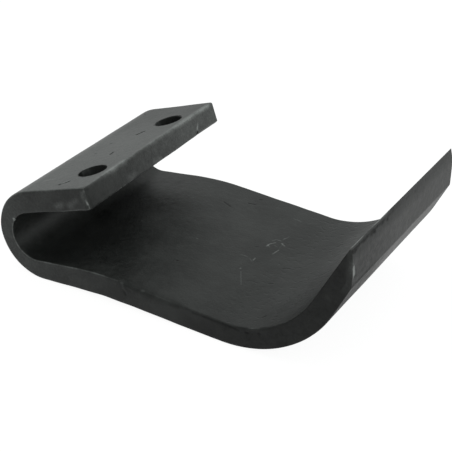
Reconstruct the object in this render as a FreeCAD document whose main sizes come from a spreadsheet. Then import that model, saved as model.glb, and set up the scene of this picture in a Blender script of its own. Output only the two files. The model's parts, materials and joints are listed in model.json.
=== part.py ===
import FreeCAD, Part
import math
import os

import Sketcher
from FreeCAD import Placement, Rotation, Vector

# Hammer mill knife: one flat bar, bent and forged into a hook and a scoop.
# A mounting leg with two bolt holes runs into a U bend. Below it the leaf
# runs forward over a low crown, dips, and turns up into a blade that is
# ground to an edge on its outer side.
#
# Frame: millimetres, +Z up, the knife lying on its leaf. X runs from the nose
# of the U bend towards the blade, Y across the width. The origin is on the
# ground, below the middle of the knife.

# Driving sizes: alias, value, meaning
SIZES = [
    ("knife_width", 100.0, "width of the bar, across the whole knife"),
    ("leg_thickness", 10.0, "thickness of the mounting leg"),
    ("leg_flat", 32.7, "straight length of the mounting leg, from the bend"),
    ("leg_angle", 18.5, "slope of the mounting leg, in degrees"),
    ("bend_radius", 20.8, "outer radius of the U bend"),
    ("nose_wall", 6.8, "wall at the nose of the U bend, drawn thin by bending"),
    ("heel_wall", 8.7, "wall at the foot of the U bend"),
    ("crown_place", 54.5, "distance of the crown from the nose"),
    ("crown_rise", 2.1, "height of the leaf's underside at the crown"),
    ("crown_wall", 10.4, "wall at the crown"),
    ("crown_under_radius", 70.0, "radius of the underside at the crown"),
    ("crown_top_radius", 115.0, "radius of the upper side at the crown"),
    ("trough_place", 111.0, "distance of the trough from the nose"),
    ("scoop_radius", 50.5, "outer radius of the scoop"),
    ("leaf_wall", 9.5, "wall of the leaf through the scoop"),
    ("blade_angle", 63.0, "slope of the blade's inner face, in degrees"),
    ("blade_taper", 2.0, "taper of the blade towards its edge, in degrees"),
    ("blade_flat", 30.0, "straight length of the blade's inner face, mid-width"),
    ("bevel_angle", 27.5, "ground bevel, from the inner face, in degrees"),
    ("edge_angle", 45.0, "finishing bevel, from the inner face, in degrees"),
    ("edge_band", 5.0, "width of the finishing bevel"),
    ("edge_skew", 1.15, "fall of the ground edge across the width, in degrees"),
    ("edge_stock", 2.0, "length of square blade that the grinding takes off"),
    ("foot_round", 5.0, "rounding between the bevel and the blade's back"),
    ("bolt_hole", 12.5, "diameter of the bolt holes, clearance for M12"),
    ("bolt_spacing", 58.5, "distance between the bolt holes"),
    ("bolt_setback", 10.2, "distance of the bolt holes from the leg's free end"),
    ("bolt_shift", 1.2, "distance of the bolt holes' middle from mid-width"),
    ("edge_round", 1.2, "rounding along the sides of the bar"),
    ("end_chamfer", 2.0, "chamfer on the near corner of the leg's free end"),
]

# How far a cutting tool runs past the surface that it cuts
OVERRUN = 4.0
# Two places closer than this are the same point
SAME = 1e-4
# Direction of the knife's width
ACROSS = Vector(0, 1, 0)

doc = FreeCAD.newDocument("hammer_mill_knife")
sheet = doc.addObject("Spreadsheet::Sheet", "Sizes")
for row, (alias, number, meaning) in enumerate(SIZES, start=1):
    sheet.set(f"A{row}", meaning)
    sheet.set(f"B{row}", str(number))
    sheet.setAlias(f"B{row}", alias)
doc.recompute()


def size(alias):
    """Number in the sheet's cell of that name."""
    return float(sheet.get(alias))


def polar(angle, radius=1.0):
    """Vector of that length at an angle in degrees from the first axis."""
    turn = math.radians(angle)
    return Vector(radius * math.cos(turn), radius * math.sin(turn), 0)


def crossing_tangent(high, high_radius, low, low_radius):
    """Ends of the line that leaves one circle's underside and meets the other's top."""
    span = low - high
    lean = math.asin((high_radius + low_radius) / span.Length)
    heading = math.atan2(span.y, span.x) - math.pi / 2 + lean
    normal = Vector(math.cos(heading), math.sin(heading), 0)
    return high + normal * high_radius, low - normal * low_radius


def mirrored_tangent(high, high_radius, low, low_radius):
    """The same line where the high circle lies further along than the low one."""
    high_seen, low_seen = Vector(-high.x, high.y, 0), Vector(-low.x, low.y, 0)
    on_high, on_low = crossing_tangent(high_seen, high_radius, low_seen, low_radius)
    return Vector(-on_high.x, on_high.y, 0), Vector(-on_low.x, on_low.y, 0)


def arc(centre, radius, start, end):
    """Arc that runs counter-clockwise about its centre between two points."""
    first = math.atan2(start.y - centre.y, start.x - centre.x)
    last = math.atan2(end.y - centre.y, end.x - centre.x)
    if last < first:
        last += 2 * math.pi
    circle = Part.Circle(centre, Vector(0, 0, 1), radius)
    return Part.ArcOfCircle(circle, first, last)


def line(start, end):
    """Straight stretch of a sketch."""
    return Part.LineSegment(start, end)


def origin_plane(body, role):
    """One of the body's own origin planes."""
    return next(item for item in body.Origin.OriginFeatures if item.Role == role)


def add_sketch(body, name, role):
    """Sketch on one of the body's own origin planes."""
    sketch = body.newObject("Sketcher::SketchObject", name)
    sketch.AttachmentSupport = [(origin_plane(body, role), "")]
    sketch.MapMode = "FlatFace"
    return sketch


class Outline:
    """Geometry of a sketch by name, with its joints and its bound sizes."""

    def __init__(self, sketch):
        self.sketch = sketch
        self.index = {"start": 1, "end": 2, "centre": 3, "x_axis": -1, "y_axis": -2}

    def add(self, name, geometry, construction=False):
        """Draw one stretch."""
        self.index[name] = self.sketch.addGeometry(geometry, construction)

    def tie(self, kind, *items):
        """Geometric constraint between named stretches and their points."""
        numbers = [self.index[item] for item in items]
        self.sketch.addConstraint(Sketcher.Constraint(kind, *numbers))

    def bind(self, kind, name, formula, *items):
        """Dimension that follows a formula of the sheet's cells."""
        numbers = [self.index[item] for item in items]
        value = self.sketch.evalExpression(formula)
        if kind == "Angle":
            value = math.radians(value.Value)
        place = self.sketch.addConstraint(Sketcher.Constraint(kind, *numbers, value))
        self.sketch.renameConstraint(place, name)
        self.sketch.setExpression(f"Constraints.{name}", formula)


# Outline of the bent bar, seen from the side, its blade still square
def draw_side(body):
    sketch = add_sketch(body, "side_outline", "XZ_Plane")
    draw = Outline(sketch)

    leg_way = polar(size("leg_angle"))
    leg_normal = polar(size("leg_angle") + 90)
    bend = size("bend_radius")
    bend_centre = Vector(bend, bend, 0)
    leg_top_start = bend_centre + leg_normal * bend
    leg_top_end = leg_top_start + leg_way * size("leg_flat")
    leg_under_end = leg_top_end - leg_normal * size("leg_thickness")

    # The inner bend touches the leg's underside, the nose wall and the heel wall
    sine, cosine = leg_way.y, leg_way.x
    wall = (size("leg_thickness") - sine * size("nose_wall")) / cosine + size("heel_wall")
    throat = bend - wall / ((1 - sine) / cosine + 1)
    throat_centre = Vector(size("nose_wall") + throat, size("heel_wall") + throat, 0)
    leg_under_start = throat_centre + leg_normal * throat

    under, top = size("crown_under_radius"), size("crown_top_radius")
    under_centre = Vector(size("crown_place"), size("crown_rise") - under, 0)
    top_height = size("crown_rise") + size("crown_wall")
    top_centre = Vector(size("crown_place"), top_height - top, 0)
    scoop = size("scoop_radius")
    bowl = scoop - size("leaf_wall")
    scoop_centre = Vector(size("trough_place"), scoop, 0)

    rise_start, rise_end = crossing_tangent(bend_centre, bend, under_centre, under)
    fall_end, fall_start = mirrored_tangent(scoop_centre, scoop, under_centre, under)
    ramp_start, ramp_end = crossing_tangent(throat_centre, throat, top_centre, top)
    dip_end, dip_start = mirrored_tangent(scoop_centre, bowl, top_centre, top)

    back_angle = size("blade_angle") + size("blade_taper")
    back_start = scoop_centre + polar(back_angle - 90, scoop)
    face_start = scoop_centre + polar(size("blade_angle") - 90, bowl)
    blade_run = size("blade_flat") + size("edge_stock")
    face_end = face_start + polar(size("blade_angle"), blade_run)
    back_end = face_end + polar(size("blade_angle") - 90, size("leaf_wall"))

    draw.add("leg_top", line(leg_top_start, leg_top_end))
    draw.add("bend", arc(bend_centre, bend, leg_top_start, rise_start))
    draw.add("rise", line(rise_start, rise_end))
    draw.add("crown_under", arc(under_centre, under, fall_start, rise_end))
    draw.add("fall", line(fall_start, fall_end))
    draw.add("scoop", arc(scoop_centre, scoop, fall_end, back_start))
    draw.add("blade_back", line(back_start, back_end))
    draw.add("blade_end", line(back_end, face_end))
    draw.add("blade_face", line(face_start, face_end))
    draw.add("bowl", arc(scoop_centre, bowl, dip_end, face_start))
    draw.add("dip", line(dip_start, dip_end))
    draw.add("crown_top", arc(top_centre, top, dip_start, ramp_end))
    draw.add("ramp", line(ramp_start, ramp_end))
    draw.add("throat", arc(throat_centre, throat, leg_under_start, ramp_start))
    draw.add("leg_under", line(leg_under_start, leg_under_end))
    draw.add("leg_end", line(leg_under_end, leg_top_end))
    nose_foot = Vector(size("nose_wall"), 0, 0)
    nose_point = Vector(size("nose_wall"), throat_centre.y, 0)
    draw.add("nose_gauge", line(nose_foot, nose_point), construction=True)
    heel_foot = Vector(0, size("heel_wall"), 0)
    heel_point = Vector(throat_centre.x, size("heel_wall"), 0)
    draw.add("heel_gauge", line(heel_foot, heel_point), construction=True)

    start, end, centre, origin = "start", "end", "centre", ("x_axis", "start")
    for one, one_end, other, other_end in (
        ("leg_top", start, "bend", start),
        ("bend", end, "rise", start),
        ("rise", end, "crown_under", end),
        ("crown_under", start, "fall", start),
        ("fall", end, "scoop", start),
        ("scoop", end, "blade_back", start),
        ("blade_face", start, "bowl", end),
        ("bowl", start, "dip", end),
        ("dip", start, "crown_top", start),
        ("crown_top", end, "ramp", end),
        ("ramp", start, "throat", end),
        ("throat", start, "leg_under", start),
    ):
        draw.tie("Tangent", one, one_end, other, other_end)
    for one, one_end, other, other_end in (
        ("blade_back", end, "blade_end", start),
        ("blade_end", end, "blade_face", end),
        ("leg_under", end, "leg_end", start),
        ("leg_end", end, "leg_top", end),
        ("scoop", centre, "bowl", centre),
    ):
        draw.tie("Coincident", one, one_end, other, other_end)
    draw.tie("Perpendicular", "leg_end", "leg_top")
    draw.tie("Perpendicular", "blade_end", "blade_face")
    draw.tie("Parallel", "leg_under", "leg_top")
    draw.tie("Vertical", "nose_gauge")
    draw.tie("PointOnObject", "nose_gauge", start, "x_axis")
    draw.tie("PointOnObject", "nose_gauge", end, "throat")
    draw.tie("Horizontal", "nose_gauge", end, "throat", centre)
    draw.tie("Horizontal", "heel_gauge")
    draw.tie("PointOnObject", "heel_gauge", start, "y_axis")
    draw.tie("PointOnObject", "heel_gauge", end, "throat")
    draw.tie("Vertical", "heel_gauge", end, "throat", centre)

    draw.bind("Distance", "leg_flat", "Sizes.leg_flat", "leg_top")
    draw.bind("Distance", "leg_thickness", "Sizes.leg_thickness", "leg_end")
    draw.bind("Angle", "leg_angle", "Sizes.leg_angle * 1 deg", "leg_top")
    draw.bind("Radius", "bend_radius", "Sizes.bend_radius", "bend")
    draw.bind("DistanceX", "bend_x", "Sizes.bend_radius", *origin, "bend", centre)
    draw.bind("DistanceY", "bend_z", "Sizes.bend_radius", *origin, "bend", centre)
    draw.bind("DistanceX", "nose_wall", "Sizes.nose_wall", *origin, "nose_gauge", start)
    draw.bind("DistanceY", "heel_wall", "Sizes.heel_wall", *origin, "heel_gauge", start)
    draw.bind("Radius", "under_radius", "Sizes.crown_under_radius", "crown_under")
    draw.bind("DistanceX", "under_x", "Sizes.crown_place", *origin, "crown_under", centre)
    draw.bind("DistanceY", "under_z", "Sizes.crown_under_radius - Sizes.crown_rise",
              "crown_under", centre, *origin)
    draw.bind("Radius", "top_radius", "Sizes.crown_top_radius", "crown_top")
    draw.bind("DistanceX", "top_x", "Sizes.crown_place", *origin, "crown_top", centre)
    draw.bind("DistanceY", "top_z",
              "Sizes.crown_top_radius - Sizes.crown_rise - Sizes.crown_wall",
              "crown_top", centre, *origin)
    draw.bind("Radius", "scoop_radius", "Sizes.scoop_radius", "scoop")
    draw.bind("DistanceX", "scoop_x", "Sizes.trough_place", *origin, "scoop", centre)
    draw.bind("DistanceY", "scoop_z", "Sizes.scoop_radius", *origin, "scoop", centre)
    draw.bind("Radius", "bowl_radius", "Sizes.scoop_radius - Sizes.leaf_wall", "bowl")
    draw.bind("Angle", "face_angle", "Sizes.blade_angle * 1 deg", "blade_face")
    draw.bind("Angle", "back_angle", "(Sizes.blade_angle + Sizes.blade_taper) * 1 deg",
              "blade_back")
    draw.bind("Distance", "blade_run", "Sizes.blade_flat + Sizes.edge_stock", "blade_face")
    return sketch


def edge_names(feature, wanted):
    """Names of the feature's edges for which the test holds."""
    edges = enumerate(feature.Shape.Edges, start=1)
    return [f"Edge{number}" for number, edge in edges if wanted(edge)]


def on_side(edge):
    """True for an edge of the knife's left or right side face."""
    half = size("knife_width") / 2
    first, last = edge.Vertexes[0].Y, edge.Vertexes[-1].Y
    return abs(abs(first) - half) < SAME and abs(first - last) < SAME


def on_line(edge, point, way):
    """True for an edge whose middle lies on that line of the side view."""
    middle = edge.CenterOfMass
    offset = Vector(middle.x - point.x, middle.z - point.y, 0)
    return abs(offset.cross(way).z) < SAME


def runs_along(edge, way):
    """True for a straight edge in that direction."""
    if edge.Curve.TypeId != "Part::GeomLine":
        return False
    return edge.tangentAt(edge.FirstParameter).cross(way).Length < SAME


def leg_end_point():
    """Upper corner of the mounting leg's free end, in the side view."""
    bend = size("bend_radius")
    start = Vector(bend, bend, 0) + polar(size("leg_angle") + 90, bend)
    return start + polar(size("leg_angle"), size("leg_flat"))


def blade_point(run):
    """Point of the blade's inner face, in the side view, that far from the scoop."""
    scoop = size("scoop_radius")
    centre = Vector(size("trough_place"), scoop, 0)
    start = centre + polar(size("blade_angle") - 90, scoop - size("leaf_wall"))
    return start + polar(size("blade_angle"), run)


def dress(body, kind, name, base, edges, formula):
    """Fillet or chamfer on those edges of the last feature."""
    feature = body.newObject(f"PartDesign::{kind}", name)
    feature.Base = (base, edges)
    feature.setExpression("Radius" if kind == "Fillet" else "Size", formula)
    doc.recompute()
    return feature


# Bar across the whole width
def pad_bar(body, outline):
    bar = body.newObject("PartDesign::Pad", "bar")
    bar.Profile = outline
    bar.setExpression("Length", "Sizes.knife_width")
    bar.Midplane = True
    doc.recompute()
    return bar


# Clipped near corner of the leg's free end, then the rounded rims of the bar
def round_edges(body, bar):
    end, end_way = leg_end_point(), polar(size("leg_angle") + 90)
    tip_way = polar(size("blade_angle") - 90)

    def is_near_corner(edge):
        return on_side(edge) and on_line(edge, end, end_way) and edge.CenterOfMass.y < 0

    corners = edge_names(bar, is_near_corner)
    clipped = dress(body, "Chamfer", "end_corner", bar, corners, "Sizes.end_chamfer")

    def is_rim(edge):
        if runs_along(edge, Vector(end_way.x, 0, end_way.y)):
            return False
        if runs_along(edge, Vector(tip_way.x, 0, tip_way.y)):
            return False
        return not runs_along(edge, ACROSS) or on_line(edge, end, end_way)

    return dress(body, "Fillet", "rims", clipped, edge_names(clipped, is_rim), "Sizes.edge_round")


# Bevel and finishing bevel, ground on the outer side of the blade's end.
# In the sketch's own axes the edge is the origin and the inner face the X axis.
def grind_edge(body):
    sketch = add_sketch(body, "edge_outline", "XZ_Plane")
    turned = Rotation(size("blade_angle"), size("edge_skew"), 0)
    sketch.AttachmentOffset = Placement(blade_point(size("blade_flat")), turned)
    run = "Sizes.blade_flat"
    bowl = "(Sizes.scoop_radius - Sizes.leaf_wall)"
    angle, taper = "Sizes.blade_angle * 1 deg", "Sizes.blade_taper * 1 deg"
    sketch.setExpression(
        "AttachmentOffset.Base.x",
        f"Sizes.trough_place + {bowl} * sin({angle}) + {run} * cos({angle})",
    )
    sketch.setExpression(
        "AttachmentOffset.Base.y",
        f"Sizes.scoop_radius - {bowl} * cos({angle}) + {run} * sin({angle})",
    )
    sketch.setExpression("AttachmentOffset.Rotation.Yaw", angle)
    sketch.setExpression("AttachmentOffset.Rotation.Pitch", "Sizes.edge_skew * 1 deg")

    # The blade's back, for the rounded foot that the bevel runs out in
    bowl_radius = size("scoop_radius") - size("leaf_wall")
    scoop_centre = Vector(-size("blade_flat"), bowl_radius, 0)
    back_way = polar(size("blade_taper"))
    back_start = scoop_centre + polar(size("blade_taper") - 90, size("scoop_radius"))
    back_end = back_start + back_way * size("blade_flat")

    knuckle = polar(size("edge_angle"), -size("edge_band"))
    bevel_way = polar(size("bevel_angle"))
    ahead_run = size("edge_stock") + OVERRUN
    ahead = polar(size("edge_angle"), ahead_run / math.cos(math.radians(size("edge_angle"))))
    gap = knuckle - back_start
    along = (gap.x * bevel_way.y - gap.y * bevel_way.x) / back_way.cross(bevel_way).z
    meeting = back_start + back_way * along
    turn = math.radians(size("bevel_angle") - size("blade_taper")) / 2
    reach = size("foot_round") * math.tan(turn)
    foot_start, foot_end = meeting - back_way * reach, meeting + bevel_way * reach
    foot_centre = foot_start + polar(size("blade_taper") + 90, size("foot_round"))
    depth = -size("leaf_wall") - OVERRUN
    under_foot, outside = Vector(foot_start.x, depth, 0), Vector(ahead.x, depth, 0)

    draw = Outline(sketch)
    draw.add("finish", line(knuckle, ahead))
    draw.add("bevel", line(foot_end, knuckle))
    draw.add("foot", arc(foot_centre, size("foot_round"), foot_start, foot_end))
    draw.add("drop", line(foot_start, under_foot))
    draw.add("outer", line(under_foot, outside))
    draw.add("front", line(outside, ahead))
    draw.add("blade_back", line(back_start, back_end), construction=True)
    start, end, origin = "start", "end", ("x_axis", "start")
    draw.tie("Coincident", "bevel", end, "finish", start)
    draw.tie("Tangent", "foot", end, "bevel", start)
    draw.tie("Coincident", "foot", start, "drop", start)
    draw.tie("Coincident", "drop", end, "outer", start)
    draw.tie("Coincident", "outer", end, "front", start)
    draw.tie("Coincident", "front", end, "finish", end)
    draw.tie("Vertical", "drop")
    draw.tie("Horizontal", "outer")
    draw.tie("Vertical", "front")
    draw.tie("PointOnObject", *origin, "finish")
    draw.tie("Tangent", "foot", start, "blade_back")
    draw.bind("Angle", "edge_angle", "Sizes.edge_angle * 1 deg", "finish")
    draw.bind("Angle", "bevel_angle", "Sizes.bevel_angle * 1 deg", "bevel")
    draw.bind("Angle", "back_angle", taper, "blade_back")
    draw.bind("Radius", "foot_round", "Sizes.foot_round", "foot")
    draw.bind("DistanceX", "back_x", f"Sizes.blade_flat - Sizes.scoop_radius * sin({taper})",
              "blade_back", start, *origin)
    draw.bind("DistanceY", "back_y", f"Sizes.scoop_radius * cos({taper}) - {bowl}",
              "blade_back", start, *origin)
    draw.bind("Distance", "back_run", "Sizes.blade_flat", "blade_back")
    draw.bind("DistanceY", "band", "Sizes.edge_band * sin(Sizes.edge_angle * 1 deg)",
              "finish", start, *origin)
    draw.bind("DistanceY", "depth", f"Sizes.leaf_wall + {OVERRUN}", "outer", end, *origin)
    draw.bind("DistanceX", "ahead", f"Sizes.edge_stock + {OVERRUN}", *origin, "front", start)

    ground = body.newObject("PartDesign::Pocket", "ground_edge")
    ground.Profile = sketch
    ground.Type = "Length"
    ground.Midplane = True
    ground.setExpression("Length", f"Sizes.knife_width + 2 * {OVERRUN}")
    doc.recompute()
    return ground


# Two bolt holes through the mounting leg, square to it
def drill_leg(body):
    sketch = add_sketch(body, "bolt_circles", "XY_Plane")
    inward = size("leg_flat") - size("bolt_setback")
    bend = size("bend_radius")
    start = Vector(bend, bend, 0) + polar(size("leg_angle") + 90, bend)
    middle = start + polar(size("leg_angle"), inward)
    tilted = Rotation(-ACROSS, size("leg_angle"))
    sketch.AttachmentOffset = Placement(Vector(middle.x, 0, middle.y), tilted)
    angle = "Sizes.leg_angle * 1 deg"
    along = "(Sizes.leg_flat - Sizes.bolt_setback)"
    sketch.setExpression(
        "AttachmentOffset.Base.x",
        f"Sizes.bend_radius * (1 - sin({angle})) + {along} * cos({angle})",
    )
    sketch.setExpression(
        "AttachmentOffset.Base.z",
        f"Sizes.bend_radius * (1 + cos({angle})) + {along} * sin({angle})",
    )
    sketch.setExpression("AttachmentOffset.Rotation.Angle", angle)
    draw = Outline(sketch)
    half, shift = size("bolt_spacing") / 2, size("bolt_shift")
    for name, place in (("near", -half - shift), ("far", half - shift)):
        circle = Part.Circle(Vector(0, place, 0), Vector(0, 0, 1), size("bolt_hole") / 2)
        draw.add(name, circle)
        draw.tie("PointOnObject", name, "centre", "y_axis")
        draw.bind("Diameter", f"{name}_hole", "Sizes.bolt_hole", name)
    origin = ("x_axis", "start")
    draw.bind("DistanceY", "spacing", "Sizes.bolt_spacing", "near", "centre", "far", "centre")
    draw.bind("DistanceY", "far_place", "Sizes.bolt_spacing / 2 - Sizes.bolt_shift",
              *origin, "far", "centre")

    holes = body.newObject("PartDesign::Pocket", "bolt_holes")
    holes.Profile = sketch
    holes.Type = "Length"
    holes.setExpression("Length", f"Sizes.leg_thickness + {OVERRUN}")
    doc.recompute()
    return holes


def check(document, parts):
    """Stop if a feature failed or a part's shape isn't one valid solid."""
    for item in document.Objects:
        if "Invalid" in item.State or "Error" in item.State:
            raise RuntimeError(f"{item.Name} failed: {item.State}")
    for part in parts:
        shape = part.Shape
        if shape.isNull() or not shape.isValid() or len(shape.Solids) != 1:
            raise RuntimeError(f"{part.Label} isn't one valid solid")


def set_down(part):
    """Move the origin to the ground below the middle of the knife."""
    box = part.Shape.optimalBoundingBox()
    middle = Vector((box.XMin + box.XMax) / 2, (box.YMin + box.YMax) / 2, box.ZMin)
    part.Placement = Placement(-middle, Rotation())
    doc.recompute()


knife = doc.addObject("PartDesign::Body", "knife_body")
knife.Label = "knife"
bar = pad_bar(knife, draw_side(knife))
rims = round_edges(knife, bar)
ground = grind_edge(knife)
drill_leg(knife)
set_down(knife)
check(doc, [knife])

os.makedirs("parts", exist_ok=True)
for part in [knife]:
    part.Shape.exportStep(f"parts/{part.Label}.step")
    volume = part.Shape.Volume
    print(f"{part.Label}: {volume / 1000:.1f} cm3, {part.Shape.optimalBoundingBox()}")
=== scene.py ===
"""Hammer mill knife: a forged, blackened flat bar, dressed for a plain studio picture.

The knife is modelled as it is made and used. A square-cut blank is gridded, its
rims are rounded, it is bent along the two skins of its side view, worn and
marked, given painted highlights, light and shade, and drilled. Sizes are in
millimetres; the bend lays them into the shared frame, which is in metres.
"""

import bisect
import json
import logging
import math
from dataclasses import dataclass, field
from enum import Enum, IntEnum
from typing import ClassVar, NamedTuple

import bmesh
import bpy
from mathutils import Matrix, Vector, geometry, kdtree, noise


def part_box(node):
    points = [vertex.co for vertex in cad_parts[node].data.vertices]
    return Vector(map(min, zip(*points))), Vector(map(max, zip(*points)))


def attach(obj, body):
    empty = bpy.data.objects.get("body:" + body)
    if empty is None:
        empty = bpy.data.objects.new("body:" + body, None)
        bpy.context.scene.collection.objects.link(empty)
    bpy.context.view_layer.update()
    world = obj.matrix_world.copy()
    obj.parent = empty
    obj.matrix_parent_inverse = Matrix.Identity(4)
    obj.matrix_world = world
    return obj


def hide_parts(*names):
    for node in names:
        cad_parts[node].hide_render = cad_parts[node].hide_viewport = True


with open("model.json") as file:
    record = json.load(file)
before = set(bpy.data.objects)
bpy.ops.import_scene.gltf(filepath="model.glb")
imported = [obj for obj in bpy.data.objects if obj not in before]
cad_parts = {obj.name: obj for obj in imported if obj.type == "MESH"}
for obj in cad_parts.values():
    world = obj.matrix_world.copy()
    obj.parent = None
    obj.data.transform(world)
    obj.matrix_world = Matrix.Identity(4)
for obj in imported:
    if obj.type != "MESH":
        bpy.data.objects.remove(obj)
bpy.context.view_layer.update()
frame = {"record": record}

logging.basicConfig(level=logging.INFO, format="%(name)s: %(message)s")
log = logging.getLogger("hammer_mill_knife")

MM = 0.001

Triple = tuple[float, float, float]
Colour = tuple[float, float, float, float]
Socket = bpy.types.NodeSocket


def polar(angle: float, radius: float = 1.0) -> Vector:
    """Vector of the side view at an angle in degrees.

    Args:
        angle: Angle from the first axis, counter-clockwise.
        radius: Length of the vector.

    Returns:
        The vector, in the units of the radius.
    """
    turn = math.radians(angle)
    return Vector((radius * math.cos(turn), radius * math.sin(turn)))


def crossing_tangent(high: Vector, high_radius: float, low: Vector, low_radius: float,
                     side: int = 1) -> tuple[Vector, Vector]:
    """Line that leaves one circle's underside and meets another's top.

    Args:
        high: Centre of the circle above the line.
        high_radius: Its radius.
        low: Centre of the circle below the line.
        low_radius: Its radius.
        side: 1 where the high circle lies nearer the nose, -1 where it lies further.

    Returns:
        The end on the high circle and the end on the low one.
    """
    span = Vector(((low.x - high.x) * side, low.y - high.y))
    lean = math.asin((high_radius + low_radius) / span.length)
    heading = math.atan2(span.y, span.x) - math.pi / 2 + lean
    normal = Vector((math.cos(heading) * side, math.sin(heading)))
    return high + normal * high_radius, low - normal * low_radius


def fillet(before: Vector, corner: Vector, after: Vector,
           radius: float) -> tuple[Vector, Vector, Vector]:
    """Arc that rounds a corner between two straight stretches.

    Args:
        before: Point on the stretch that comes in.
        corner: Where the stretches meet.
        after: Point on the stretch that goes on.
        radius: Radius of the arc.

    Returns:
        The arc's start, centre and end.
    """
    back, on = (before - corner).normalized(), (after - corner).normalized()
    half = back.angle(on) / 2
    reach = radius / math.tan(half)
    centre = corner + (back + on).normalized() * radius / math.sin(half)
    return corner + back * reach, centre, corner + on * reach


def blend(value: float, low: float, high: float) -> float:
    """Smooth step of a value from 0 at one limit to 1 at the other."""
    share = min(max((value - low) / (high - low), 0.0), 1.0)
    return share * share * (3 - 2 * share)


def as_object(name: str, shape: bmesh.types.BMesh) -> bpy.types.Object:
    """Turn a shape into an object of the scene.

    Args:
        name: Name of the object and of its mesh.
        shape: The shape, which is freed.

    Returns:
        The object.
    """
    mesh = bpy.data.meshes.new(name)
    shape.to_mesh(mesh)
    shape.free()
    piece = bpy.data.objects.new(name, mesh)
    bpy.context.scene.collection.objects.link(piece)
    return piece


@dataclass(frozen=True)
class Fade:
    """Range over which something comes in."""

    start: float
    full: float

    def at(self, value: float) -> float:
        """Share that has come in at a value."""
        return blend(value, self.start, self.full)

    def left(self, value: float) -> float:
        """Share that is still to come at a value."""
        return 1 - self.at(value)


class Flat(NamedTuple):
    """Place on the straight blank, in millimetres.

    The length runs along the outer skin from the leg's free end, the place across
    runs from the near side, and the share of the wall runs from the outer skin.
    """

    length: float
    across: float
    share: float


class Knot(IntEnum):
    """Places after the free end at which the two skins are paired, in order."""

    LEG = 1
    NOSE = 2
    HEEL = 3
    CROWN = 4
    TROUGH = 5
    BACK = 6
    FOOT = 7
    BEVEL = 8
    KNUCKLE = 9
    TIP = 10


class Route:
    """Line of the side view, drawn from straight stretches and arcs."""

    STEP: ClassVar[float] = 0.1

    def __init__(self, start: Vector) -> None:
        """Start the line at a point."""
        self.points: list[Vector] = [start.copy()]
        self.lengths: list[float] = [0.0]

    def _reach(self, point: Vector) -> None:
        """Go on to a point close by."""
        self.lengths.append(self.lengths[-1] + (point - self.points[-1]).length)
        self.points.append(point)

    def straight(self, end: Vector) -> None:
        """Go straight to a point.

        Args:
            end: Point where the stretch ends.
        """
        start = self.points[-1]
        count = max(int((end - start).length / self.STEP), 1)
        for step in range(1, count + 1):
            self._reach(start.lerp(end, step / count))

    def turn(self, centre: Vector, end: Vector) -> None:
        """Go to a point on an arc, the short way about a centre.

        Args:
            centre: Centre of the arc.
            end: Point where it ends.
        """
        arm, last = self.points[-1] - centre, end - centre
        turn = math.atan2(arm.x * last.y - arm.y * last.x, arm.dot(last))
        count = max(int(abs(turn) * arm.length / self.STEP), 1)
        for step in range(1, count + 1):
            angle = turn * step / count
            sine, cosine = math.sin(angle), math.cos(angle)
            self._reach(centre + Vector((arm.x * cosine - arm.y * sine,
                                         arm.x * sine + arm.y * cosine)))

    def at(self, length: float) -> Vector:
        """Find the point at a length along the line.

        Args:
            length: Length from the start.

        Returns:
            The point, or the nearer end where the line doesn't reach so far.
        """
        place = min(max(bisect.bisect_left(self.lengths, length), 1), len(self.points) - 1)
        low, high = self.lengths[place - 1], self.lengths[place]
        share = min(max((length - low) / (high - low), 0.0), 1.0)
        return self.points[place - 1].lerp(self.points[place], share)

    def length_at(self, point: Vector) -> float:
        """Length along the line to where it passes a point."""
        nearest = min(range(len(self.points)), key=lambda i: (self.points[i] - point).length)
        return self.lengths[nearest]


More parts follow.
